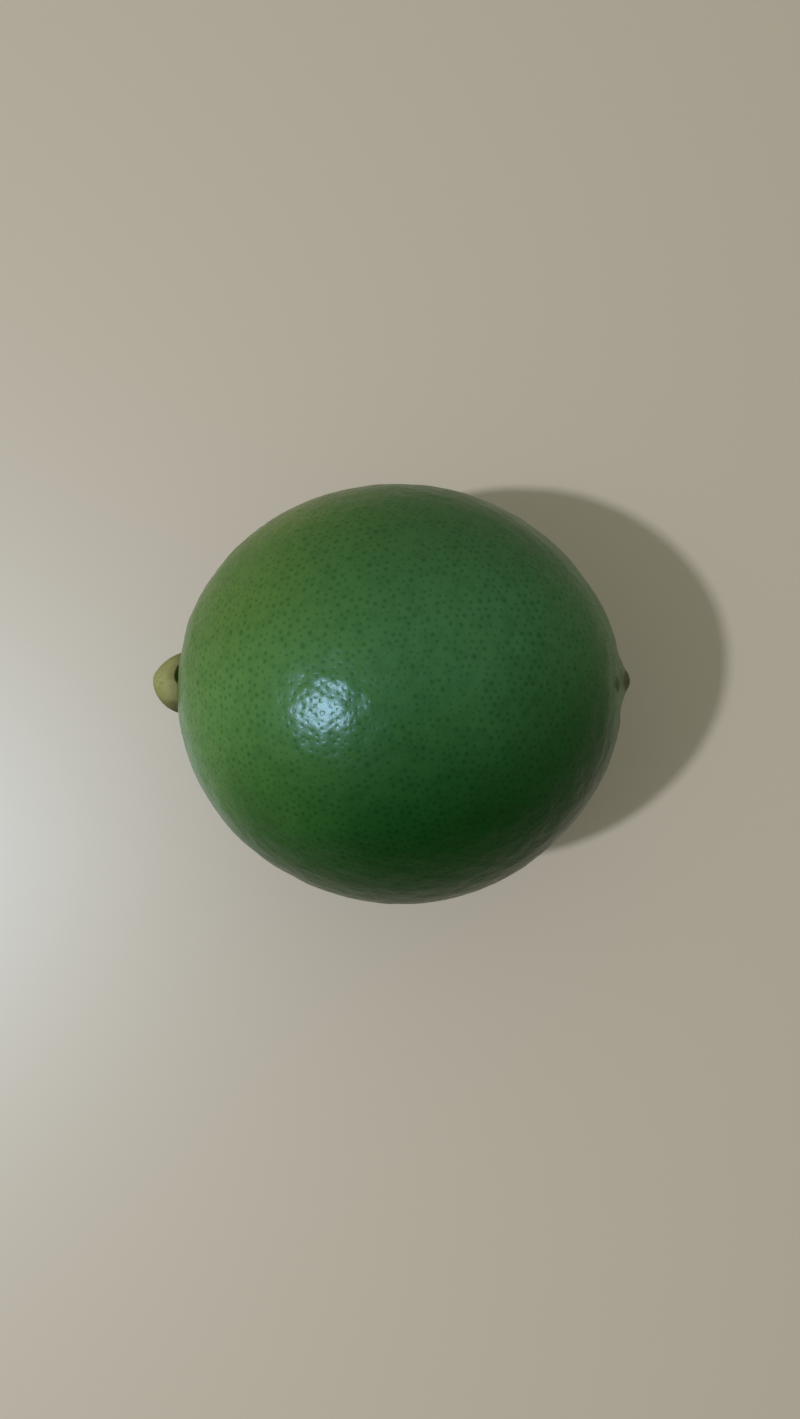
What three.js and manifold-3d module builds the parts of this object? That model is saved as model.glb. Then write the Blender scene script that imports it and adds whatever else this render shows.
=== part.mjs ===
// A whole lime lying on its side, as picked, with its dry stem button still on.
// Millimetres, +Z up. The origin is the middle of the small flat spot that the fruit rests on.
// +X runs along the fruit, from the stem end towards the nipple at the style end.

import * as THREE from 'three';
import { mergeVertices } from 'three/addons/utils/BufferGeometryUtils.js';
import Module from 'manifold-3d';

const wasm = await Module();
wasm.setup();

// ---- driving dimensions -------------------------------------------------------------------

// The peel: a rounded barrel whose two ends differ a little in fullness.
const HALF_WIDTH = 26.0; // half the width across the belly
const HALF_LENGTH = 27.6; // from the middle to either end, without nipple and button
const STEM_FULLNESS = 1.95; // 2 is an ellipse, more is squarer, less is more pointed
const STYLE_FULLNESS = 2.0;
const HEIGHT_RATIO = 0.985; // height against width
const BELLY_SAG = 0.22; // how far the belly hangs to the -Y side of the axis
const FLAT_DEPTH = 0.35; // how deep the resting spot cuts into the round belly

// Long shallow swells that keep the peel from being a perfect solid of revolution.
const SWELLS = [
  { height: 0.1, pitch: 4.3, phase: 5.72, toward: new THREE.Vector3(0.35, 0.8, 0.45).normalize() },
  { height: 0.09, pitch: 5.1, phase: 3.5, toward: new THREE.Vector3(-0.5, 0.3, 0.8).normalize() },
  { height: 0.07, pitch: 6.4, phase: 2.54, toward: new THREE.Vector3(0.8, -0.5, 0.3).normalize() },
];

// The style end: a low nipple in a faint round groove, a little off the middle of the end.
const NIPPLE_PLACE = new THREE.Vector3(HALF_LENGTH, 1.9, 4.5);
const NIPPLE_HEIGHT = 0.66;
const NIPPLE_SPREAD = 1.9; // radius at which the nipple has fallen to about a third
const NIPPLE_SKEW = 0.15; // how much wider it spreads towards +Y, and narrower towards -Y
const TIP_HEIGHT = 0.34; // the small point that the style left on top of the nipple
const TIP_SPREAD = 0.95;
const GROOVE_RADIUS = 3.7;
const GROOVE_WIDTH = 1.1;
const GROOVE_DEPTH = 0.15;

// The stem end: a shallow basin for the button, with faint furrows running out of it.
const BUTTON_PLACE = new THREE.Vector3(-HALF_LENGTH, 0.75, 0.3);
const BASIN_DEPTH = 0.38;
const BASIN_SPREAD = 5.0;
const FURROWS = 7;
const FURROW_DEPTH = 0.14;
const FURROW_RADIUS = 7.0;
const FURROW_SPREAD = 2.8;

// The stem button: five blunt calyx lobes around the snapped-off stub of the stalk.
const BUTTON_RADIUS = 4.05;
const BUTTON_HEIGHT = 3.7; // from the peel in the basin to the top of the stub
const BUTTON_GAP = 0.3; // clearance between the peel and the underside
const RIM_HEIGHT = 0.6; // from the underside to the widest ring
const DOME_POINT = 1.3; // 1 is a round dome, more is a steeper one
const BUTTON_LEAN = 0.4; // the stub leans this far towards -Y
const LOBES = 5;
const LOBE_NOTCH = 0.45; // how deep the rim is notched between two lobes
const NOTCH_FADE = 8; // how quickly a notch fades out above the rim
const NOTCH_TURN = THREE.MathUtils.degToRad(76); // one notch, measured from +Y towards +Z
const PRESSED_EDGE = 0.5; // underside curve where a lobe lies close on the peel
const LIFTED_EDGE = 1.7; // underside curve at the notch where the edge has lifted

// How finely the surfaces are divided.
const PEEL_MERIDIANS = 64;
const PEEL_RINGS = 56;
const POLE_CROWDING = 0.28; // draws the rings together at both ends
const POLE_REACH = 4; // how quickly the rings straighten away from the ends
const BUTTON_SECTORS = 55;
const BUTTON_RINGS = 24;

// ---- helpers ------------------------------------------------------------------------------

const STYLE = NIPPLE_PLACE.clone().normalize();
const STEM = BUTTON_PLACE.clone().normalize();
const DOWN = new THREE.Vector3(0, 0, -1);

function bell(t) {
  return Math.exp(-t * t);
}

// Merges a closed template surface and moves each of its corners to its own place.
function reshape(template, place) {
  template.deleteAttribute('normal');
  template.deleteAttribute('uv');
  const surface = mergeVertices(template, 1e-5);
  const corners = surface.attributes.position;
  const corner = new THREE.Vector3();
  for (let i = 0; i < corners.count; i += 1) {
    corner.fromBufferAttribute(corners, i);
    const moved = place(corner);
    corners.setXYZ(i, moved.x, moved.y, moved.z);
  }
  return surface;
}

function toSolid(surface) {
  const vertProperties = new Float32Array(surface.attributes.position.array);
  const triVerts = new Uint32Array(surface.index.array);
  return new wasm.Manifold(new wasm.Mesh({ numProp: 3, vertProperties, triVerts }));
}

function toGeometry(solid) {
  const { vertProperties, triVerts } = solid.getMesh();
  const geometry = new THREE.BufferGeometry();
  geometry.setAttribute('position', new THREE.BufferAttribute(vertProperties, 3));
  geometry.setIndex(new THREE.BufferAttribute(triVerts, 1));
  geometry.computeVertexNormals();
  return geometry;
}

// ---- the peel -----------------------------------------------------------------------------

// Distance from the fruit's middle to the plain barrel in a unit direction.
function barrelRadius(dir) {
  const fullness = dir.x > 0 ? STYLE_FULLNESS : STEM_FULLNESS;
  const along = Math.abs(dir.x) / HALF_LENGTH;
  const across = Math.hypot(dir.y, dir.z / HEIGHT_RATIO) / HALF_WIDTH;
  return (along ** fullness + across ** fullness) ** (-1 / fullness);
}

function swell(dir) {
  let height = -BELLY_SAG * dir.y * (1 - dir.x * dir.x);
  for (const wave of SWELLS) {
    height += wave.height * Math.sin(wave.pitch * dir.dot(wave.toward) + wave.phase);
  }
  return height;
}

function nipple(dir) {
  const offset = dir.clone().sub(STYLE);
  const away = offset.length() * HALF_LENGTH;
  const side = away > 0 ? offset.y / offset.length() : 0;
  const mound = NIPPLE_HEIGHT * bell(away / (NIPPLE_SPREAD * (1 + NIPPLE_SKEW * side)));
  const tip = TIP_HEIGHT * bell(away / TIP_SPREAD);
  const groove = GROOVE_DEPTH * bell((away - GROOVE_RADIUS) / GROOVE_WIDTH);
  return mound + tip - groove;
}

function basin(dir) {
  const away = dir.distanceTo(STEM) * HALF_LENGTH;
  const around = Math.atan2(dir.z - STEM.z, dir.y - STEM.y);
  const furrow = 0.5 + 0.5 * Math.cos(FURROWS * around);
  const hollow = BASIN_DEPTH * bell(away / BASIN_SPREAD);
  return -hollow - FURROW_DEPTH * furrow * bell((away - FURROW_RADIUS) / FURROW_SPREAD);
}

// The point of the peel that lies in a unit direction from the fruit's middle.
function peelPoint(dir) {
  const radius = barrelRadius(dir) + swell(dir) + nipple(dir) + basin(dir);
  return dir.clone().multiplyScalar(radius);
}

const REST_HEIGHT = peelPoint(DOWN).length() - FLAT_DEPTH;

// Draws the rings of a unit sphere towards its ends, and the ends onto the nipple and the button.
function peelDirection(unit) {
  const plain = Math.acos(THREE.MathUtils.clamp(unit.x, -1, 1));
  const angle = plain - POLE_CROWDING * Math.sin(2 * plain);
  const around = Math.atan2(unit.z, unit.y);
  const dir = new THREE.Vector3(
    Math.cos(angle),
    Math.sin(angle) * Math.cos(around),
    Math.sin(angle) * Math.sin(around),
  );
  const nearStyle = ((1 + dir.x) / 2) ** POLE_REACH;
  const nearStem = ((1 - dir.x) / 2) ** POLE_REACH;
  dir.y += (nearStyle * STYLE.y) / STYLE.x - (nearStem * STEM.y) / STEM.x;
  dir.z += (nearStyle * STYLE.z) / STYLE.x - (nearStem * STEM.z) / STEM.x;
  return dir.normalize();
}

function makeFruit() {
  const ball = new THREE.SphereGeometry(1, PEEL_MERIDIANS, PEEL_RINGS);
  ball.rotateZ(-Math.PI / 2);
  const round = reshape(ball, (unit) => peelPoint(peelDirection(unit)));
  const side = 2 * HALF_LENGTH;
  const below = new THREE.BoxGeometry(side, side, side);
  below.translate(0, 0, -REST_HEIGHT - side / 2);
  const table = reshape(below, (corner) => corner);
  return toGeometry(toSolid(round).subtract(toSolid(table)));
}

// ---- the stem button ----------------------------------------------------------------------

// 1 in the middle of a notch between two lobes, 0 over the rest of each lobe.
function notch(around) {
  const turn = Math.cos((LOBES * (around - NOTCH_TURN)) / 2);
  return turn ** 8;
}

// 1 at the one notch whose edge has lifted, 0 away from it.
function lift(around) {
  const turn = Math.cos((around - NOTCH_TURN) / 2);
  return turn ** 12;
}

// Height above the peel for a place on a unit ball: unit.x is -1 at the top of the stub.
function buttonHeight(unit, around) {
  const level = Math.abs(unit.x);
  const rim = BUTTON_GAP + RIM_HEIGHT;
  if (unit.x < 0) {
    return rim + (BUTTON_HEIGHT - rim) * level ** DOME_POINT;
  }
  const edge = THREE.MathUtils.lerp(PRESSED_EDGE, LIFTED_EDGE, lift(around));
  return BUTTON_GAP + RIM_HEIGHT * (1 - level ** edge);
}

function buttonPoint(unit) {
  const around = Math.atan2(unit.z, unit.y);
  const reach = Math.hypot(unit.y, unit.z);
  const rim = BUTTON_RADIUS - LOBE_NOTCH * notch(around) * reach ** NOTCH_FADE;
  const foot = BUTTON_PLACE.clone();
  foot.y += rim * unit.y;
  foot.z += rim * unit.z;
  const point = peelPoint(foot.normalize());
  const height = buttonHeight(unit, around);
  const lean = unit.x < 0 ? BUTTON_LEAN * unit.x * unit.x : 0;
  return point.addScaledVector(STEM, height).add(new THREE.Vector3(0, -lean, 0));
}

function makeButton() {
  const ball = new THREE.SphereGeometry(1, BUTTON_SECTORS, BUTTON_RINGS);
  ball.rotateZ(Math.PI / 2);
  return toGeometry(toSolid(reshape(ball, buttonPoint)));
}

// ---- the lime -----------------------------------------------------------------------------

const peelMaterial = new THREE.MeshStandardMaterial({ color: 0x3f7433, roughness: 0.35, metalness: 0 });
const barkMaterial = new THREE.MeshStandardMaterial({ color: 0x8c8f60, roughness: 0.8, metalness: 0 });

function addPiece(group, name, geometry, material) {
  const mesh = new THREE.Mesh(geometry, material);
  mesh.name = name;
  mesh.position.z = REST_HEIGHT;
  group.add(mesh);
}

const lime = new THREE.Group();
lime.name = 'lime';
addPiece(lime, 'fruit', makeFruit(), peelMaterial);
addPiece(lime, 'stem_button', makeButton(), barkMaterial);

export default lime;
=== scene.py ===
# %% [markdown]
# # A whole lime, resting on its side
#
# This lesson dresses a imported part, a fresh lime with its dry stem button, in a skin that looks
# grown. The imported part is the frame: it says how big the fruit is, where it rests and what
# collides. Everything made here has to stay where that frame puts it, so the first step is
# to load it and to note its box.

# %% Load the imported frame
import math
import random

import bmesh
import bpy
from mathutils import Matrix, Vector, noise
from mathutils.kdtree import KDTree


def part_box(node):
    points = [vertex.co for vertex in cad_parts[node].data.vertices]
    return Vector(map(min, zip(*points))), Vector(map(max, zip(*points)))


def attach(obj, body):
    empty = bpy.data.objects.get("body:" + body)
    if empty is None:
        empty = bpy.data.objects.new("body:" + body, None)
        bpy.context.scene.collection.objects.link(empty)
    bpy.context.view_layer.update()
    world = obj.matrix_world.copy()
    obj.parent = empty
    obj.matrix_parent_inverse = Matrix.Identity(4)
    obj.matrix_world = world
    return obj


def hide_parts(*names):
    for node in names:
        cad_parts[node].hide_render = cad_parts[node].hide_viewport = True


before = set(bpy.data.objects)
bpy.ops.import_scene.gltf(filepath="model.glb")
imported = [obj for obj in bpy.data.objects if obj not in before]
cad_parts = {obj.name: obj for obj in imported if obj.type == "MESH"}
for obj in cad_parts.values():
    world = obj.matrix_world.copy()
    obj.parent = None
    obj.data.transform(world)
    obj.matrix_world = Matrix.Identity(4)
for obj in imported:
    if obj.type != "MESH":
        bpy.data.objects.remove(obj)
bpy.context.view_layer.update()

MM = 0.001


def rounded_mm(point):
    """A point in millimetres, rounded for printing."""
    return [round(x / MM, 2) for x in point]


print("nodes:", sorted(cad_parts))

# %% [markdown]
# ## Camera
#
# The fruit is seen from straight above, close by. A near camera sees less of the sides, so its
# place matters more than its angle. It stands over the fruit's middle, a little to one side, and is
# turned a hair so that the fruit's long axis lies as it should.

# %% Camera above the fruit's middle
CAMERA_RISE = 129.0 * MM
CAMERA_ASIDE = Vector((0.33, -2.17, 0.0)) * MM
CAMERA_ROLL = 0.0205
FOCAL_PIXELS = 1024.0
FRAME_LONG_SIDE = 1419.0
SENSOR = 36.0
NEAREST_SEEN = 0.01
FARTHEST_SEEN = 20.0

low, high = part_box("fruit")
middle = Vector((0.0, 0.0, (low.z + high.z) / 2))

camera_data = bpy.data.cameras.new("camera")
camera_data.sensor_width = SENSOR
camera_data.lens = FOCAL_PIXELS / FRAME_LONG_SIDE * SENSOR
camera_data.clip_start = NEAREST_SEEN
camera_data.clip_end = FARTHEST_SEEN
camera = bpy.data.objects.new("camera", camera_data)
camera.location = middle + CAMERA_ASIDE + Vector((0.0, 0.0, CAMERA_RISE))
camera.rotation_euler = (0.0, 0.0, CAMERA_ROLL)
bpy.context.scene.collection.objects.link(camera)
bpy.context.scene.camera = camera
print("camera height above the floor in mm:", round(camera.location.z / MM, 1))

# %% [markdown]
# ## Helpers for pieces and materials
#
# Two short helpers keep the later cells plain. One turns a worked-up shape into an object that
# stays at the origin, with its place in its mesh. The other starts a material.


# %% A piece and a material
def finish_mesh(name, shape, smooth=True):
    """Turns a bmesh into a linked object at the origin, with its faces facing out."""
    bmesh.ops.recalc_face_normals(shape, faces=shape.faces[:])
    mesh = bpy.data.meshes.new(name)
    shape.to_mesh(mesh)
    shape.free()
    for face in mesh.polygons:
        face.use_smooth = smooth
    piece = bpy.data.objects.new(name, mesh)
    bpy.context.scene.collection.objects.link(piece)
    print(name, "has", len(mesh.vertices), "corners and", len(mesh.polygons), "faces")
    return piece


def new_material(name):
    """A material, its node tree and its Principled shader, which is left to be filled in."""
    material = bpy.data.materials.new(name)
    material.use_nodes = True
    return material, material.node_tree, material.node_tree.nodes["Principled BSDF"]


# %% [markdown]
# ## Floor
#
# The fruit rests on one wide sheet of a warm pale colour. It isn't quite matt: like a varnished
# board it gives back a soft, broad glare of the light. The glare of bare varnish would be
# blue-white from this light, so the sheen is tinted warm, which keeps the floor one colour.

# %% Pale floor
FLOOR_SIZE = 3.0
FLOOR_COLOUR = (0.470, 0.435, 0.365, 1.0)
FLOOR_ROUGHNESS = 0.44
FLOOR_IOR = 1.42
FLOOR_SHEEN_TINT = (1.0, 0.84, 0.70, 1.0)

slab = bmesh.new()
bmesh.ops.create_grid(slab, x_segments=2, y_segments=2, size=FLOOR_SIZE / 2)
floor = finish_mesh("floor", slab, smooth=False)
floor_material, _, floor_shader = new_material("pale_floor")
floor_shader.inputs["Base Color"].default_value = FLOOR_COLOUR
floor_shader.inputs["Roughness"].default_value = FLOOR_ROUGHNESS
floor_shader.inputs["IOR"].default_value = FLOOR_IOR
floor_shader.inputs["Specular Tint"].default_value = FLOOR_SHEEN_TINT
floor.data.materials.append(floor_material)

# %% [markdown]
# ## Light
#
# A small lamp, half a metre off, throws the crisp shadow. On its own it would leave only a pinprick
# of a highlight, so it is hidden from the shiny surfaces, which see a wide round card beside it
# instead, as a white card is stood beside a lamp in a studio.

# %% Lamp and highlight card
LAMP_TOWARDS = Vector((-0.507, -0.129, 0.852)).normalized()
LAMP_DISTANCE = 0.5
LAMP_WIDTH = 0.023
LAMP_WATTS = 1.42
LAMP_COLOUR = (1.0, 0.97, 1.04)
CARD_TOWARDS = Vector((-0.570, -0.167, 0.804)).normalized()
CARD_DISTANCE = 0.9
CARD_WIDTH = 0.195
CARD_WATTS = 12.8
CARD_COLOUR = (0.66, 1.0, 1.46)


def add_lamp(name, towards, distance, width, watts, colour):
    """A round lamp in a given direction, facing the fruit."""
    data = bpy.data.lights.new(name, "AREA")
    data.shape = "DISK"
    data.size = width
    data.energy = watts
    data.color = colour
    lamp = bpy.data.objects.new(name, data)
    lamp.location = middle + towards * distance
    lamp.rotation_euler = (-towards).to_track_quat("-Z", "Y").to_euler()
    bpy.context.scene.collection.objects.link(lamp)
    print(name, "is at", rounded_mm(lamp.location), "mm")
    return lamp


lamp = add_lamp("lamp", LAMP_TOWARDS, LAMP_DISTANCE, LAMP_WIDTH, LAMP_WATTS, LAMP_COLOUR)
lamp.visible_glossy = False
card = add_lamp("highlight_card", CARD_TOWARDS, CARD_DISTANCE, CARD_WIDTH, CARD_WATTS, CARD_COLOUR)
card.visible_diffuse = False

# %% [markdown]
# ### Glow of the room
#
# A room lights a fruit from every side, but not evenly. Each bright wall or window is a broad lobe
# of light, brightest in its own direction. Here they come mostly from the back and the two sides,
# which leaves the near side dim, and a faint even glow keeps the dimmest side from going black.
#
# The glow and the finishes further on are built from shader nodes, dozens of them. One helper that
# adds a node and joins its inputs in a single call keeps each of them to a line or two.


# %% A shader node with its inputs joined
def add_node(tree, kind, settings=None, inputs=None):
    """Adds a node, sets its own settings, then sets or links its inputs by name or by number."""
    made = tree.nodes.new(kind)
    for key, value in (settings or {}).items():
        setattr(made, key, value)
    for key, value in (inputs or {}).items():
        if isinstance(value, bpy.types.NodeSocket):
            tree.links.new(value, made.inputs[key])
        else:
            made.inputs[key].default_value = value
    return made


# %% Lobes of light
EVEN_GLOW = (0.04, 0.04, 0.036)
GLOWS = (
    (Vector((0.0, 0.9, 0.43)), (0.55, 0.55, 0.45)),
    (Vector((0.9, 0.0, 0.43)), (0.30, 0.32, 0.26)),
    (Vector((-0.9, 0.0, 0.43)), (0.40, 0.38, 0.31)),
    (Vector((0.0, -0.9, 0.43)), (0.08, 0.08, 0.07)),
    (Vector((0.0, 0.0, 1.0)), (0.13, 0.13, 0.12)),
)
GLOW_SHARPNESS = 2.0

world = bpy.data.worlds.new("glow")
world.use_nodes = True
bpy.context.scene.world = world
sky = world.node_tree
where = add_node(sky, "ShaderNodeTexCoord").outputs["Generated"]
total = EVEN_GLOW
for towards, colour in GLOWS:
    facing = add_node(sky, "ShaderNodeVectorMath", {"operation": "DOT_PRODUCT"}, {0: where, 1: towards})
    lit = add_node(sky, "ShaderNodeMath", {"operation": "MAXIMUM"}, {0: facing.outputs["Value"], 1: 0.0})
    lobe = add_node(sky, "ShaderNodeMath", {"operation": "POWER"}, {0: lit.outputs[0], 1: GLOW_SHARPNESS})
    glow = add_node(sky, "ShaderNodeVectorMath", {"operation": "SCALE"},
                    {0: colour, "Scale": lobe.outputs[0]})
    added = add_node(sky, "ShaderNodeVectorMath", {"operation": "ADD"}, {0: glow.outputs[0], 1: total})
    total = added.outputs[0]
sky.links.new(total, sky.nodes["Background"].inputs["Color"])
bpy.context.scene.view_settings.view_transform = "Standard"
print("the room glows from", len(GLOWS), "directions")

# %% [markdown]
# ## The shape of the peel
#
# A lime is nearly an ellipsoid, but a perfect one looks turned on a lathe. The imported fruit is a
# barrel whose two ends differ in fullness, with long shallow swells, a low nipple at the style end
# and a shallow furrowed basin around the stem. It could be sculpted, but then it would leave the
# frame. So the same rule is written here, as a distance from the fruit's middle in any direction,
# and a mesh of any fineness can be laid on it. Each feature is one short function.

# %% The plain barrel
HALF_WIDTH = 26.0 * MM
HALF_LENGTH = 27.6 * MM
HEIGHT_RATIO = 0.985
STEM_FULLNESS = 1.95
STYLE_FULLNESS = 2.0


def barrel(d):
    """Distance from the middle to the plain barrel, in the unit direction d."""
    fullness = STYLE_FULLNESS if d.x > 0 else STEM_FULLNESS
    along = abs(d.x) / HALF_LENGTH
    across = math.hypot(d.y, d.z / HEIGHT_RATIO) / HALF_WIDTH
    return (along ** fullness + across ** fullness) ** (-1 / fullness)


for axis in "XYZ":
    towards = Vector([float(letter == axis) for letter in "XYZ"])
    print("barrel along", axis, "in mm:", round(2 * barrel(towards) / MM, 1))

# %% Long shallow swells
BELLY_SAG = 0.22 * MM
SWELLS = (
    (0.10 * MM, 4.3, 5.72, Vector((0.35, 0.8, 0.45)).normalized()),
    (0.09 * MM, 5.1, 3.50, Vector((-0.5, 0.3, 0.8)).normalized()),
    (0.07 * MM, 6.4, 2.54, Vector((0.8, -0.5, 0.3)).normalized()),
)


def swells(d):
    """A belly a little fuller on one flank, and three long waves, each in its own direction."""
    height = -BELLY_SAG * d.y * (1 - d.x * d.x)
    for rise, pitch, phase, towards in SWELLS:
        height += rise * math.sin(pitch * d.dot(towards) + phase)
    return height


print("the swells add up to", round(sum(rise for rise, *_ in SWELLS) / MM, 2), "mm at most")

# %% Nipple at the style end
NIPPLE_PLACE = Vector((27.6, 1.9, 4.5)) * MM
NIPPLE_HEIGHT = 0.66 * MM
NIPPLE_SPREAD = 1.9 * MM
NIPPLE_SKEW = 0.15
TIP_HEIGHT = 0.34 * MM
TIP_SPREAD = 0.95 * MM
GROOVE_RADIUS = 3.7 * MM
GROOVE_WIDTH = 1.1 * MM
GROOVE_DEPTH = 0.15 * MM
STYLE = NIPPLE_PLACE.normalized()


def bell(t):
    """A soft hump: 1 at 0, and almost nothing beyond 2."""
    return math.exp(-t * t)


def nipple(d):
    """A low mound with a small tip on it, inside a shallow round groove."""
    offset = d - STYLE
    away = offset.length * HALF_LENGTH
    side = offset.y / offset.length if away > 0 else 0.0
    mound = NIPPLE_HEIGHT * bell(away / (NIPPLE_SPREAD * (1 + NIPPLE_SKEW * side)))
    tip = TIP_HEIGHT * bell(away / TIP_SPREAD)
    return mound + tip - GROOVE_DEPTH * bell((away - GROOVE_RADIUS) / GROOVE_WIDTH)


print("nipple height in mm:", round(nipple(STYLE) / MM, 2))

# %% Basin around the stem
BUTTON_PLACE = Vector((-27.6, 0.75, 0.3)) * MM
BASIN_DEPTH = 0.38 * MM
BASIN_SPREAD = 5.0 * MM
FURROWS = 7
FURROW_DEPTH = 0.14 * MM
FURROW_RADIUS = 7.0 * MM
FURROW_SPREAD = 2.8 * MM
STEM = BUTTON_PLACE.normalized()


def basin(d):
    """A shallow hollow with faint furrows running out of it."""
    away = (d - STEM).length * HALF_LENGTH
    around = math.atan2(d.z - STEM.z, d.y - STEM.y)
    furrow = 0.5 + 0.5 * math.cos(FURROWS * around)
    hollow = BASIN_DEPTH * bell(away / BASIN_SPREAD)
    return -hollow - FURROW_DEPTH * furrow * bell((away - FURROW_RADIUS) / FURROW_SPREAD)


print("basin depth in mm:", round(-basin(STEM) / MM, 2))

# %% The whole rule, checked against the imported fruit
FLAT_DEPTH = 0.35 * MM
ABOVE_THE_SPOT = 0.1 * MM


def peel_distance(d):
    """Distance from the middle to the peel, in the unit direction d."""
    return barrel(d) + swells(d) + nipple(d) + basin(d)


REST_HEIGHT = peel_distance(Vector((0.0, 0.0, -1.0))) - FLAT_DEPTH
centre = Vector((0.0, 0.0, REST_HEIGHT))


def worst_gap(node):
    """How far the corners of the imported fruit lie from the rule, leaving out the resting spot."""
    gaps = []
    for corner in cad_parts[node].data.vertices:
        if corner.co.z > ABOVE_THE_SPOT:
            ray = corner.co - centre
            gaps.append(abs(ray.length - peel_distance(ray.normalized())))
    return max(gaps)


print("rule against the packed fruit, worst gap in mm:", round(worst_gap("fruit") / MM, 4))

# %% [markdown]
# ## Oil glands
#
# The peel of a lime is dotted with oil glands, about one to the square millimetre. Each is a
# dark green dot at the bottom of a shallow pit, and between the pits the peel swells softly. A
# texture could draw the dots, but drawn pits don't catch the light at the rim of the fruit, so
# here they are part of the mesh.
#
# An icosphere made six levels deep has about ten thousand corners, evenly spread: one corner for
# each gland. Shaking each corner a little hides the lattice. Cutting every edge in three then
# gives each gland a ring of corners around it, which is drawn in to the gland's own rim.

# %% One corner for each gland
random.seed(7)
GLAND_LEVELS = 6
GLAND_SHAKE = 0.2
GLAND_SHAKE_LIMIT = 0.33

peel = bmesh.new()
bmesh.ops.create_icosphere(peel, subdivisions=GLAND_LEVELS, radius=1.0)
spacing = math.sqrt(8 * math.pi / (math.sqrt(3) * len(peel.verts)))


def shaken(d):
    """Moves a direction by a random step, short against the spacing of the glands."""
    step = Vector([random.gauss(0, GLAND_SHAKE) for _ in range(3)])
    step -= d * step.dot(d)
    if step.length > GLAND_SHAKE_LIMIT:
        step *= GLAND_SHAKE_LIMIT / step.length
    return (d + step * spacing).normalized()


for gland in peel.verts:
    gland.co = shaken(gland.co.normalized())
places = [gland.co.copy() for gland in peel.verts]
gland_tree = KDTree(len(places))
for i, place in enumerate(places):
    gland_tree.insert(place, i)
gland_tree.balance()
print(len(places), "glands, about", round(spacing * HALF_WIDTH / MM, 2), "mm apart")

# %% A ring of corners around each gland
PIT_RADIUS = 0.40 * MM
PIT_UNEVEN = 0.3
PIT_SHARE = 0.46


def pit_radius(i):
    """A pit's radius as an angle: a little uneven, and never half way to the next gland."""
    to_next = gland_tree.find_n(places[i], 2)[1][2]
    wanted = PIT_RADIUS / HALF_WIDTH * (1 + PIT_UNEVEN * random.uniform(-1, 1))
    return min(wanted, PIT_SHARE * to_next)


rims = [pit_radius(i) for i in range(len(places))]
bmesh.ops.subdivide_edges(peel, edges=peel.edges[:], cuts=2, use_grid_fill=True)
peel.verts.index_update()
peel.verts.ensure_lookup_table()

ring_corners = set()
for i in range(len(places)):
    gland = peel.verts[i]
    for edge in gland.link_edges:
        beside = edge.other_vert(gland)
        step = beside.co.normalized() - places[i]
        beside.co = places[i] + step * (rims[i] / step.length)
        ring_corners.add(beside.index)
print("mean pit radius in mm:", round(sum(rims) / len(rims) * HALF_WIDTH / MM, 3))

# %% [markdown]
# ### Between the pits, and at the tip
#
# The corners that belong to no ring are put midway between their neighbours, so that no face folds
# over where a ring was drawn in. The nipple is the smallest form of the fruit and stands out against
# the floor, so the net is cut once more there.

# %% Even out the net and refine it at the tip
FINE_TIP_REACH = 3.4 * MM

for corner in peel.verts[len(places):]:
    if corner.index not in ring_corners:
        around = [edge.other_vert(corner).co for edge in corner.link_edges]
        corner.co = sum(around, Vector()) / len(around)

near_tip = []
for edge in peel.edges:
    if max((v.co - STYLE).length for v in edge.verts) * HALF_LENGTH < FINE_TIP_REACH:
        near_tip.append(edge)
bmesh.ops.subdivide_edges(peel, edges=near_tip, cuts=1, use_grid_fill=True)
print(len(near_tip), "edges cut at the tip,", len(peel.faces), "faces on the peel")

# %% [markdown]
# ### Depth of the pits
#
# A gland's pit is only a fortieth of a millimetre deep, deepest in its middle. There are none on
# the bare tip, and none under the button. Between the glands the peel swells by half as much.

# %% How deep, and where there are none
PIT_DEPTH = 0.022 * MM
SWELL_BETWEEN = 0.010 * MM
SWELL_FADE = (0.3, 0.6)
BARE_TIP = 1.3 * MM
BARE_TIP_FADE = (0.7, 1.5)
BARE_BASIN = 3.4 * MM
BARE_BASIN_FADE = (0.9, 1.2)


def smooth_step(low, high, value):
    """0 up to low, 1 from high on, and a smooth rise between."""
    t = min(1.0, max(0.0, (value - low) / (high - low)))
    return t * t * (3 - 2 * t)


def bare(d):
    """0 where the peel has no glands, at the tip and under the button, and 1 elsewhere."""
    from_style = (d - STYLE).length * HALF_LENGTH
    from_stem = (d - STEM).length * HALF_LENGTH
    free = smooth_step(BARE_TIP_FADE[0] * BARE_TIP, BARE_TIP_FADE[1] * BARE_TIP, from_style)
    return free * smooth_step(BARE_BASIN_FADE[0] * BARE_BASIN, BARE_BASIN_FADE[1] * BARE_BASIN, from_stem)


def pit(d):
    """How deep in a pit the direction d is, 0 at the rim to 1 inside, and how far between pits."""
    place, i, away = gland_tree.find(d)
    inside = max(0.0, 1 - away / rims[i])
    between = smooth_step(*SWELL_FADE, away / spacing)
    return inside * rims[i] * HALF_WIDTH / PIT_RADIUS * bare(d), between


print(sum(bare(place) < 0.5 for place in places), "glands left out at the tip and under the button")

# %% [markdown]
# ### Marks at the style end
#
# Two small marks finish the style end: a shrunken scar on the tip, where the flower's style fell
# off, and a bruise beside it. Each is a soft dent, and is coloured later on.

# %% Scar and bruise as dents
SCAR_TOWARDS = Vector((0.979, 0.067, 0.193)).normalized()
SCAR_RADIUS = 0.55 * MM
SCAR_DEPTH = 0.12 * MM
BRUISE_TOWARDS = Vector((0.939, 0.047, 0.342)).normalized()
BRUISE_WIDTH = 0.85 * MM
BRUISE_LENGTH = 1.5 * MM
BRUISE_DEPTH = 0.18 * MM


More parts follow.
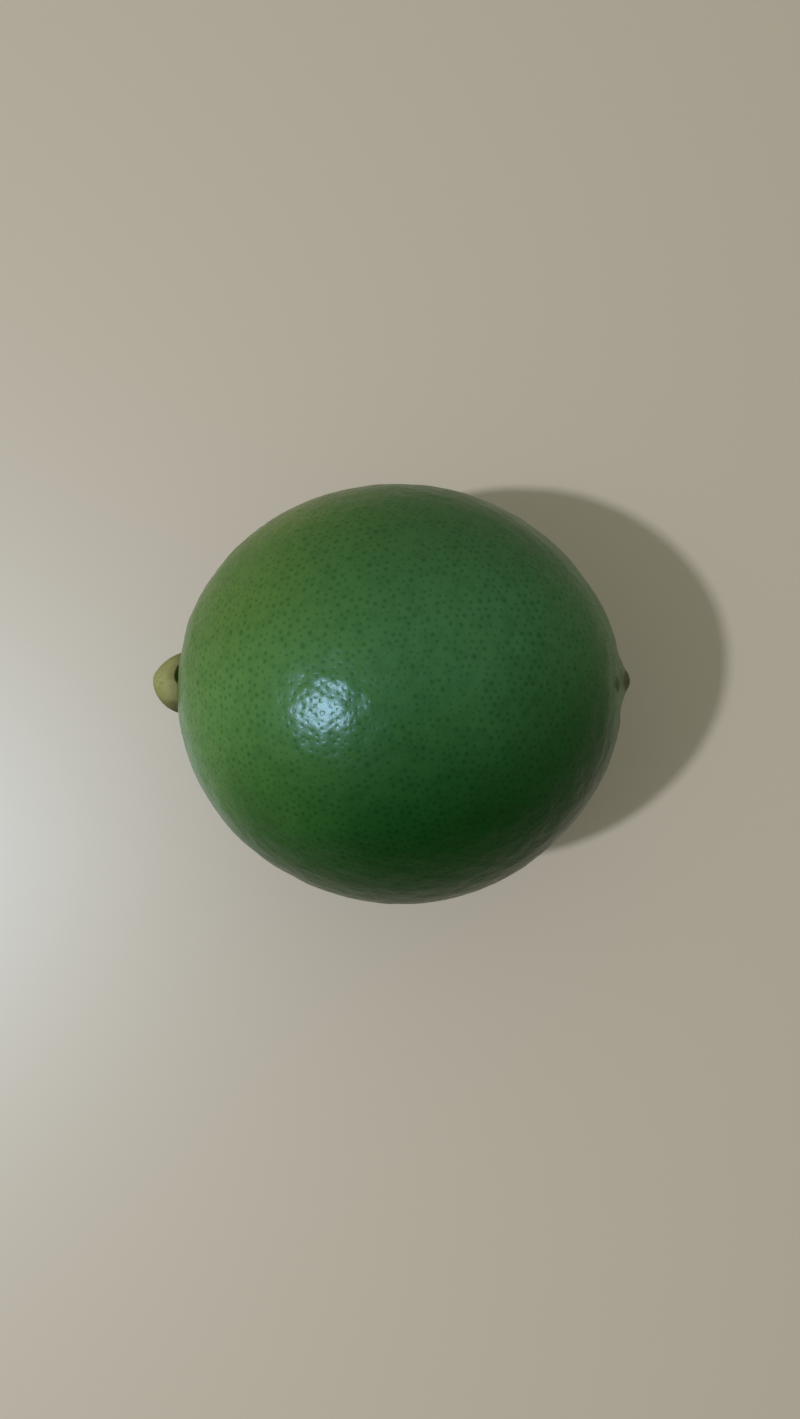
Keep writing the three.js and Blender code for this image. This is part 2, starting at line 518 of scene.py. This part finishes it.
def marks(d):
    """Depth of the scar and the bruise."""
    scar = SCAR_DEPTH * bell((d - STYLE).length * HALF_LENGTH / SCAR_RADIUS)
    offset = (d - BRUISE_TOWARDS) * HALF_LENGTH
    bruise = bell(offset.y / BRUISE_WIDTH) * bell(math.hypot(offset.x, offset.z) / BRUISE_LENGTH)
    return scar + BRUISE_DEPTH * bruise


print("dent of the bruise in mm:", round(marks(BRUISE_TOWARDS) / MM, 3))

# %% [markdown]
# ### Laying the corners on the rule
#
# Each corner is pushed out to the rule's distance, then lowered in a pit or raised a little between
# pits. Three faint noises, from 5 mm long down to 0.9 mm, hammer the whole peel, because a skin over
# juice sacs is never quite smooth. The corners below the floor are lifted to it: that is the spot
# that the fruit rests on.

# %% Lay the corners on the rule of the peel
HAMMER = ((0.050 * MM, 5.0 * MM), (0.064 * MM, 1.9 * MM), (0.032 * MM, 0.9 * MM))

gland_layer = peel.verts.layers.float.new("gland")
for corner in peel.verts:
    d = corner.co.normalized()
    inside, between = pit(d)
    hammered = sum(rise * noise.noise(d * (HALF_WIDTH / length)) for rise, length in HAMMER)
    height = peel_distance(d) + hammered + between * SWELL_BETWEEN - inside * PIT_DEPTH - marks(d)
    corner[gland_layer] = inside
    corner.co = centre + d * height
    corner.co.z = max(0.0, corner.co.z)

lime_peel = finish_mesh("lime_peel", peel)
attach(lime_peel, "root")
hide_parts("fruit")

# %% [markdown]
# ## Helpers for patterns
#
# Peel and dry cup are painted in the same way, as a painter glazes: a thin colour over another,
# through a soft mask. A mask comes from a measure, such as the distance from a spot, and a noise
# added to the measure makes its edge ragged. Measures are in millimetres on the piece itself, so a
# pattern keeps its size and its place however the piece is turned.


# %% Masks and glazes
def mask_between(tree, value, start, full, strength=1.0):
    """A soft mask: 0 where the value is at start, and rising to the strength where it is at full."""
    made = add_node(tree, "ShaderNodeMapRange", {"interpolation_type": "SMOOTHSTEP"},
                    {0: value, 1: start, 2: full, 3: 0.0, 4: strength})
    return made.outputs[0]


def blend(tree, mask, under, over, how="MIX"):
    """Lays one colour over another where the mask is 1."""
    made = add_node(tree, "ShaderNodeMix", {"data_type": "RGBA", "blend_type": how},
                    {0: mask, 6: under, 7: over})
    return made.outputs[2]


# %% Measures
def sum_up(tree, first, factor, second):
    """first * factor + second, for values."""
    made = add_node(tree, "ShaderNodeMath", {"operation": "MULTIPLY_ADD"},
                    {0: first, 1: factor, 2: second})
    return made.outputs[0]


def object_mm(tree):
    """The place on the piece in millimetres, from Object coordinates."""
    coords = add_node(tree, "ShaderNodeTexCoord")
    scaled = add_node(tree, "ShaderNodeVectorMath", {"operation": "SCALE"},
                      {0: coords.outputs["Object"], "Scale": 1 / MM})
    return scaled.outputs[0]


def distance_mm(tree, in_mm, spot, stretch=(1.0, 1.0, 1.0)):
    """Distance in millimetres from a spot of the frame, with each axis stretched."""
    shift = Vector([-at / MM * by for at, by in zip(spot, stretch)])
    centred = add_node(tree, "ShaderNodeMapping", {"vector_type": "POINT"},
                       {"Vector": in_mm, "Location": shift, "Scale": stretch})
    length = add_node(tree, "ShaderNodeVectorMath", {"operation": "LENGTH"}, {0: centred.outputs[0]})
    return length.outputs["Value"]


# %% [markdown]
# ### Blotches
#
# Grown things are uneven at every size, from broad drifts of colour to fine grain. One noise does
# all of it, so it is built once, as a node group that peel and dry cup both place with their own
# grain. It gives the plain unevenness, to make an edge ragged or a surface rough, and a soft mask
# of where it is high, to glaze through.

# %% The group of soft blotches
soft_blotches = bpy.data.node_groups.new("soft_blotches", "ShaderNodeTree")
soft_blotches.interface.new_socket(name="Place", in_out="INPUT", socket_type="NodeSocketVector")
for name in ("Grain", "Detail", "Start", "Full", "Strength"):
    soft_blotches.interface.new_socket(name=name, in_out="INPUT", socket_type="NodeSocketFloat")
for name in ("Unevenness", "Mask"):
    soft_blotches.interface.new_socket(name=name, in_out="OUTPUT", socket_type="NodeSocketFloat")

given = add_node(soft_blotches, "NodeGroupInput").outputs
uneven = add_node(soft_blotches, "ShaderNodeTexNoise",
                  inputs={"Vector": given["Place"], "Scale": given["Grain"], "Detail": given["Detail"]})
spots = mask_between(soft_blotches, uneven.outputs[0], given["Start"], given["Full"], given["Strength"])
add_node(soft_blotches, "NodeGroupOutput", inputs={"Unevenness": uneven.outputs[0], "Mask": spots})


def blotches(tree, place, grain, detail, start=0.0, full=1.0, strength=1.0):
    """Places the group. Grain is the number of blotches to one unit of the place."""
    made = add_node(tree, "ShaderNodeGroup", {"node_tree": soft_blotches},
                    {"Place": place, "Grain": grain, "Detail": detail,
                     "Start": start, "Full": full, "Strength": strength})
    return made.outputs["Unevenness"], made.outputs["Mask"]


print(soft_blotches.name, "has", [item.name for item in soft_blotches.interface.items_tree])

# %% [markdown]
# ## The finish of the peel
#
# The green of a lime isn't even. A ramp runs across the fruit, from a pale flank to a deep green
# one, and wanders a little so that no line of it shows. The deep end is partly the peel's own
# deeper green and partly painted shade of the near flank, which the room's light leaves dim. Two
# more shifts are laid over it: the peel turns yellow towards the stem, and it is paler at the
# nipple end.

# %% Ramp from the pale flank to the deep one
# The ramp darkens towards this flank: painted shade of the dimly lit near side, over the peel's own deeper
# green.
DIM_FLANK = Vector((0.342, -0.940, 0.0))
RAMP_HALF_LENGTH = 26.0
RAMP_WANDER = 9.0
GREENS_AND_SHADE = (
    (0.00, (0.0580, 0.1240, 0.0325)),
    (0.07, (0.0420, 0.1100, 0.0290)),
    (0.12, (0.0325, 0.1015, 0.0260)),
    (0.25, (0.0300, 0.1020, 0.0295)),
    (0.40, (0.0340, 0.1190, 0.0400)),
    (0.50, (0.0300, 0.1110, 0.0360)),
    (0.60, (0.0200, 0.0850, 0.0220)),
    (0.70, (0.0090, 0.0575, 0.0110)),
    (0.82, (0.0032, 0.0395, 0.0038)),
    (1.00, (0.0020, 0.0370, 0.0024)),
)

peel_material, nodes, shader = new_material("waxy_peel")
in_mm = object_mm(nodes)
split = add_node(nodes, "ShaderNodeSeparateXYZ", inputs={0: in_mm})
wander, _ = blotches(nodes, in_mm, grain=0.09, detail=3.0)
centred = add_node(nodes, "ShaderNodeMath", {"operation": "SUBTRACT"}, {0: wander, 1: 0.5}).outputs[0]

towards_dim_flank = add_node(nodes, "ShaderNodeVectorMath", {"operation": "DOT_PRODUCT"},
                       {0: in_mm, 1: DIM_FLANK})
across = sum_up(nodes, centred, RAMP_WANDER, towards_dim_flank.outputs["Value"])
place = add_node(nodes, "ShaderNodeMapRange", inputs={0: across, 1: -RAMP_HALF_LENGTH, 2: RAMP_HALF_LENGTH})
ramp = add_node(nodes, "ShaderNodeValToRGB", inputs={0: place.outputs[0]})
stops = ramp.color_ramp.elements
while len(stops) < len(GREENS_AND_SHADE):
    stops.new(0.5)
for stop, (position, colour) in zip(stops, GREENS_AND_SHADE):
    stop.position = position
    stop.color = (*colour, 1.0)
print(len(GREENS_AND_SHADE), "greens from the pale flank to the deep one")

# %% Yellow towards the stem, paler towards the nipple
STEM_YELLOWING = (2.55, 1.70, 1.22, 1.0)
TIP_PALENESS = (1.40, 1.20, 1.10, 1.0)
ENDS_WANDER = 8.0

lengthwise = sum_up(nodes, centred, ENDS_WANDER, split.outputs["X"])
near_stem = mask_between(nodes, lengthwise, start=2.5, full=-27.0)
near_style = mask_between(nodes, lengthwise, start=13.0, full=27.0)
green = blend(nodes, near_stem, ramp.outputs["Color"], STEM_YELLOWING, "MULTIPLY")
green = blend(nodes, near_style, green, TIP_PALENESS, "MULTIPLY")
print("the stem end is multiplied by", STEM_YELLOWING[:3], "and the nipple end by", TIP_PALENESS[:3])

# %% [markdown]
# ### Glands, clouds and the pale end
#
# The mesh carries a mask named gland, 1 in the middle of a pit and 0 at its rim, so each dot lies
# exactly in its pit. Between the dots the green is a little cloudy. The end around the nipple is
# paler in ragged patches and turns olive towards the tip. The dots are laid over the pale patches,
# because the glands are in the peel there too, but under the olive of the tip, which has dried.
# The masks of the pale patches and of the olive tip are measured in millimetres from the tip, with
# noise added.

# %% Clouds, pale patches, dots and olive tip
CLOUD_SHADE = (0.84, 0.90, 0.88, 1.0)
END_PALE = (0.090, 0.165, 0.072, 1.0)
GLAND_SHADE = (0.66, 0.73, 0.66, 1.0)
TIP_OLIVE = (0.092, 0.110, 0.055, 1.0)
PALE_RAGGED = 10.0
OLIVE_RAGGED = 3.0

_, clouds = blotches(nodes, in_mm, grain=0.75, detail=2.5, start=0.42, full=0.66)
green = blend(nodes, clouds, green, CLOUD_SHADE, "MULTIPLY")

patchy, _ = blotches(nodes, in_mm, grain=0.35, detail=3.0)
tip = centre + STYLE * peel_distance(STYLE)
from_tip = distance_mm(nodes, in_mm, tip)
patchy_edge = sum_up(nodes, patchy, PALE_RAGGED, from_tip)
pale_end = mask_between(nodes, patchy_edge, start=17.0, full=6.5, strength=0.8)
green = blend(nodes, pale_end, green, END_PALE)

gland = add_node(nodes, "ShaderNodeAttribute", {"attribute_name": "gland"}).outputs["Fac"]
dot = mask_between(nodes, gland, start=-0.05, full=0.65)
green = blend(nodes, dot, green, GLAND_SHADE, "MULTIPLY")

ragged, _ = blotches(nodes, in_mm, grain=1.6, detail=3.0)
ragged_edge = sum_up(nodes, ragged, OLIVE_RAGGED, from_tip)
olive_tip = mask_between(nodes, ragged_edge, start=5.8, full=2.8, strength=0.75)
green = blend(nodes, olive_tip, green, TIP_OLIVE)
print("the nipple's tip is at", rounded_mm(tip), "mm")

# %% [markdown]
# ### Scar and bruise
#
# The two dents at the style end get their colours: dry olive brown on the scar, dark olive on the
# bruise. Each is a distance from its own middle, stretched so that the mark is longer one way, with
# the same ragged noise at its edge.

# %% Colours of the scar and the bruise
SCAR_BROWN = (0.086, 0.088, 0.047, 1.0)
SCAR_STRETCH = (1.0, 1.35, 1.0)
SCAR_RAGGED = 0.9
BRUISE_OLIVE = (0.052, 0.076, 0.028, 1.0)
BRUISE_STRETCH = (0.5, 1.0, 0.5)
BRUISE_RAGGED = 0.5

scar = centre + SCAR_TOWARDS * peel_distance(SCAR_TOWARDS)
from_scar = sum_up(nodes, ragged, SCAR_RAGGED, distance_mm(nodes, in_mm, scar, SCAR_STRETCH))
scar_mask = mask_between(nodes, from_scar, start=2.45, full=1.25, strength=0.9)
green = blend(nodes, scar_mask, green, SCAR_BROWN)

bruise = centre + BRUISE_TOWARDS * peel_distance(BRUISE_TOWARDS)
from_bruise = sum_up(nodes, ragged, BRUISE_RAGGED, distance_mm(nodes, in_mm, bruise, BRUISE_STRETCH))
bruise_mask = mask_between(nodes, from_bruise, start=1.45, full=0.6, strength=0.85)
green = blend(nodes, bruise_mask, green, BRUISE_OLIVE)
nodes.links.new(green, shader.inputs["Base Color"])
print("from the tip in mm: scar", round((scar - tip).length / MM, 2),
      "and bruise", round((bruise - tip).length / MM, 2))

# %% [markdown]
# ### Wax
#
# Fresh limes are glossy from their own wax, so the roughness is low but for the dry scars. The
# shader's index of refraction is set low, at 1.2. A pitted skin mirrors less at its rim than a
# smooth one, and with an index of 1.4 a grey edge would lie over the green. The bump only sharpens
# the pits that the mesh has already, and adds the fine grain between them.

# %% Gloss and fine relief of the peel
WAX_ROUGHNESS = 0.27
SCAR_ROUGHNESS = 0.8
SOFT_IOR = 1.20
PEEL_RELIEF = 0.018 * MM
DOT_RELIEF = -0.6

worn = add_node(nodes, "ShaderNodeMath", {"operation": "MAXIMUM"}, {0: scar_mask, 1: bruise_mask})
rough = add_node(nodes, "ShaderNodeMapRange",
                 inputs={0: worn.outputs[0], 1: 0.0, 2: 1.0, 3: WAX_ROUGHNESS, 4: SCAR_ROUGHNESS})
nodes.links.new(rough.outputs[0], shader.inputs["Roughness"])
shader.inputs["IOR"].default_value = SOFT_IOR

grain, _ = blotches(nodes, in_mm, grain=2.2, detail=2.0)
relief = sum_up(nodes, dot, DOT_RELIEF, grain)
bump = add_node(nodes, "ShaderNodeBump", inputs={"Height": relief, "Distance": PEEL_RELIEF, "Strength": 1.0})
nodes.links.new(bump.outputs["Normal"], shader.inputs["Normal"])
lime_peel.data.materials.append(peel_material)
print(peel_material.name, "has", len(nodes.nodes), "nodes")

# %% [markdown]
# ## The stem button
#
# Where the fruit was picked, the dry green cup of the flower is left on it: five blunt lobes
# pressed on the peel around the stub of the stalk. It could be built up lobe by lobe, but it is one
# grown piece, so it is made as one: a ball drawn into a dome, with notches between the lobes and one
# edge lifted off the peel.

# %% Lifted edge
LIFT = 0.40 * MM
LIFT_HALF_ANGLE = math.radians(19)
NOTCH_TURN = math.radians(76)


def lifted(around):
    """1 in the middle of the lifted edge, falling to 0 at its two ends."""
    t = math.remainder(around - NOTCH_TURN, 2 * math.pi) / LIFT_HALF_ANGLE
    return max(0.0, 1 - t * t)


print("edge lifted by", round(LIFT / MM, 2), "mm over", round(2 * math.degrees(LIFT_HALF_ANGLE)), "degrees")

# %% Dry fibres, lumps and the hollow of the stub
BUTTON_RADIUS = 4.05 * MM
FIBRE_RELIEF = 0.07 * MM
FIBRE_COUNT = 4.5
FIBRE_DRIFT = 0.35
LUMP_RELIEF = 0.10 * MM
LUMP_LENGTH = 1.6 * MM
RELIEF_FADE = 6
STUB_HOLLOW = 0.16 * MM
STUB_RADIUS = 0.14


def fibre_vector(around, reach):
    """Turns once around the stub, and drifts a little on the way out to the rim."""
    return Vector((math.cos(around), math.sin(around), FIBRE_DRIFT * reach))


def dry_relief(unit, around, reach):
    """Shrunken fibres running from the stub to the rim, low lumps, and the hollow of the stub."""
    fibres = FIBRE_RELIEF * noise.noise(fibre_vector(around, reach) * FIBRE_COUNT) * reach
    lumps = LUMP_RELIEF * noise.noise(unit * (BUTTON_RADIUS / LUMP_LENGTH))
    return (fibres + lumps) * (1 - reach ** RELIEF_FADE) - STUB_HOLLOW * bell(reach / STUB_RADIUS)


print("hollow of the stub in mm:", round(STUB_HOLLOW / MM, 2))

# %% [markdown]
# ### The rule of the button
#
# Each corner of a unit ball is moved by where it lies on the ball. The half that faces away from
# the fruit becomes the dome. The other half becomes the underside, pressed on the peel or, at the
# lifted edge, drawn up from it. Every point starts from the peel's own rule, so the button can't
# hang off the fruit or sink in it.

# %% Where a corner of the ball goes
BUTTON_HEIGHT = 3.7 * MM
RIM_HEIGHT = 0.2 * MM
SUNK = 0.06 * MM
DOME_POINT = 1.60
DOME_UNEVEN = 0.26
BUTTON_LEAN = 0.1 * MM
PRESSED_EDGE = 0.25
LIFTED_EDGE = 1.7
LOBES = 5
LOBE_NOTCH = 0.40 * MM
NOTCH_SHARPNESS = 8
NOTCH_FADE = 8


def button_point(unit):
    """Moves a corner of a unit ball onto the button. The top of the stub is at x = -1."""
    around = math.atan2(unit.z, unit.y)
    reach = math.hypot(unit.y, unit.z)
    level = abs(unit.x)
    notch = math.cos(LOBES * (around - NOTCH_TURN) / 2) ** NOTCH_SHARPNESS
    rim = BUTTON_RADIUS - LOBE_NOTCH * notch * reach ** NOTCH_FADE
    foot = (BUTTON_PLACE + Vector((0.0, rim * unit.y, rim * unit.z))).normalized()
    free = lifted(around)
    edge = RIM_HEIGHT + LIFT * free
    if unit.x < 0:
        point = DOME_POINT + DOME_UNEVEN * math.cos(around)
        height = edge + (BUTTON_HEIGHT - edge) * level ** point + dry_relief(unit, around, reach)
        lean = BUTTON_LEAN * level ** 2
    else:
        curve = PRESSED_EDGE + (LIFTED_EDGE - PRESSED_EDGE) * free
        height = (edge + SUNK) * (1 - level ** curve) - SUNK
        lean = 0.0
    return centre + foot * peel_distance(foot) + STEM * height - Vector((0.0, lean, 0.0))


print("top of the stub in mm:", rounded_mm(button_point(Vector((-1.0, 0.0, 0.0)))))

# %% Lay the ball on the rule of the button
CORNERS_AROUND = 150
CORNERS_DOWN = 72

bud = bmesh.new()
bmesh.ops.create_uvsphere(bud, u_segments=CORNERS_AROUND, v_segments=CORNERS_DOWN, radius=1.0)
bmesh.ops.rotate(bud, verts=bud.verts[:], cent=(0, 0, 0), matrix=Matrix.Rotation(math.pi / 2, 3, "Y"))
from_rim = bud.verts.layers.float.new("from_rim")
fibre = bud.verts.layers.float_vector.new("fibre")
for corner in bud.verts:
    unit = corner.co.normalized()
    corner[from_rim] = -unit.x
    corner[fibre] = fibre_vector(math.atan2(unit.z, unit.y), math.hypot(unit.y, unit.z))
    corner.co = button_point(unit)
button = finish_mesh("dry_stem_button", bud)
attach(button, "root")
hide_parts("stem_button")

# %% [markdown]
# ### The finish of the button
#
# A dried cup is olive where it was green, and browns from its edges in. Its fibres run from the stub
# down to the rim, so the streaks follow a vector that the mesh carries: the turn around the stub,
# and the reach from it. Blotches and specks break the streaks up. The lowest corner, towards -Y,
# is painted dark as shade.

# %% Colours of the dry cup
OLIVE_YELLOW = (0.262, 0.278, 0.108, 1.0)
OLIVE_GREY = (0.225, 0.235, 0.085, 1.0)
RIM_BROWN = (0.105, 0.098, 0.040, 1.0)
# The darkest brown here is painted shade for the cup's lower side, not a colour of its own.
CORNER_SHADE = (0.048, 0.036, 0.018, 1.0)
STUB_TAN = (0.200, 0.150, 0.080, 1.0)
RIM_RAGGED = 0.5
CORNER_RAGGED = 1.6

button_material, nodes, shader = new_material("dry_cup")
in_mm = object_mm(nodes)
split = add_node(nodes, "ShaderNodeSeparateXYZ", inputs={0: in_mm})
height = add_node(nodes, "ShaderNodeAttribute", {"attribute_name": "from_rim"}).outputs["Fac"]
along = add_node(nodes, "ShaderNodeAttribute", {"attribute_name": "fibre"}).outputs["Vector"]

patches, patch_mask = blotches(nodes, in_mm, grain=0.33, detail=3.0, start=0.40, full=0.60)
streaks, streak_mask = blotches(nodes, along, grain=7.0, detail=3.0, start=0.50, full=0.75, strength=0.45)
specks, speck_mask = blotches(nodes, in_mm, grain=3.2, detail=2.0, start=0.60, full=0.72, strength=0.5)

body = blend(nodes, patch_mask, OLIVE_GREY, OLIVE_YELLOW)
body = blend(nodes, streak_mask, body, RIM_BROWN)
body = blend(nodes, speck_mask, body, RIM_BROWN)
ragged_height = sum_up(nodes, streaks, RIM_RAGGED, height)
brown_rim = mask_between(nodes, ragged_height, start=0.95, full=0.35, strength=0.62)
body = blend(nodes, brown_rim, body, RIM_BROWN)
# Painted shade: the cup's lower side, towards -Y, is darkened to a dark brown.
low_side = sum_up(nodes, patches, CORNER_RAGGED, split.outputs["Y"])
shaded_corner = mask_between(nodes, low_side, start=-0.4, full=-2.2, strength=0.8)
body = blend(nodes, shaded_corner, body, CORNER_SHADE)
stub = mask_between(nodes, height, start=0.978, full=0.992, strength=0.7)
body = blend(nodes, stub, body, STUB_TAN)
nodes.links.new(body, shader.inputs["Base Color"])
print(button_material.name, "has", len(nodes.nodes), "nodes so far")

# %% [markdown]
# ### Dullness of the button
#
# The cup is dull to the touch, so it is rough all over, and unevenly so. It shares the peel's low
# index, which keeps its round edge from turning white. The bump carries the streaks and specks.

# %% Roughness and fine relief of the cup
CUP_ROUGHNESS = (0.65, 0.85)
CUP_RELIEF = 0.06 * MM
SPECK_RANGE = (0.3, 0.7)
SPECK_RELIEF = 0.5

rough = add_node(nodes, "ShaderNodeMapRange",
                 inputs={0: specks, 1: SPECK_RANGE[0], 2: SPECK_RANGE[1],
                         3: CUP_ROUGHNESS[0], 4: CUP_ROUGHNESS[1]})
nodes.links.new(rough.outputs[0], shader.inputs["Roughness"])
shader.inputs["IOR"].default_value = SOFT_IOR
relief = sum_up(nodes, specks, SPECK_RELIEF, streaks)
bump = add_node(nodes, "ShaderNodeBump", inputs={"Height": relief, "Distance": CUP_RELIEF, "Strength": 1.0})
nodes.links.new(bump.outputs["Normal"], shader.inputs["Normal"])
button.data.materials.append(button_material)
print("cup roughness from", CUP_ROUGHNESS[0], "to", CUP_ROUGHNESS[1])
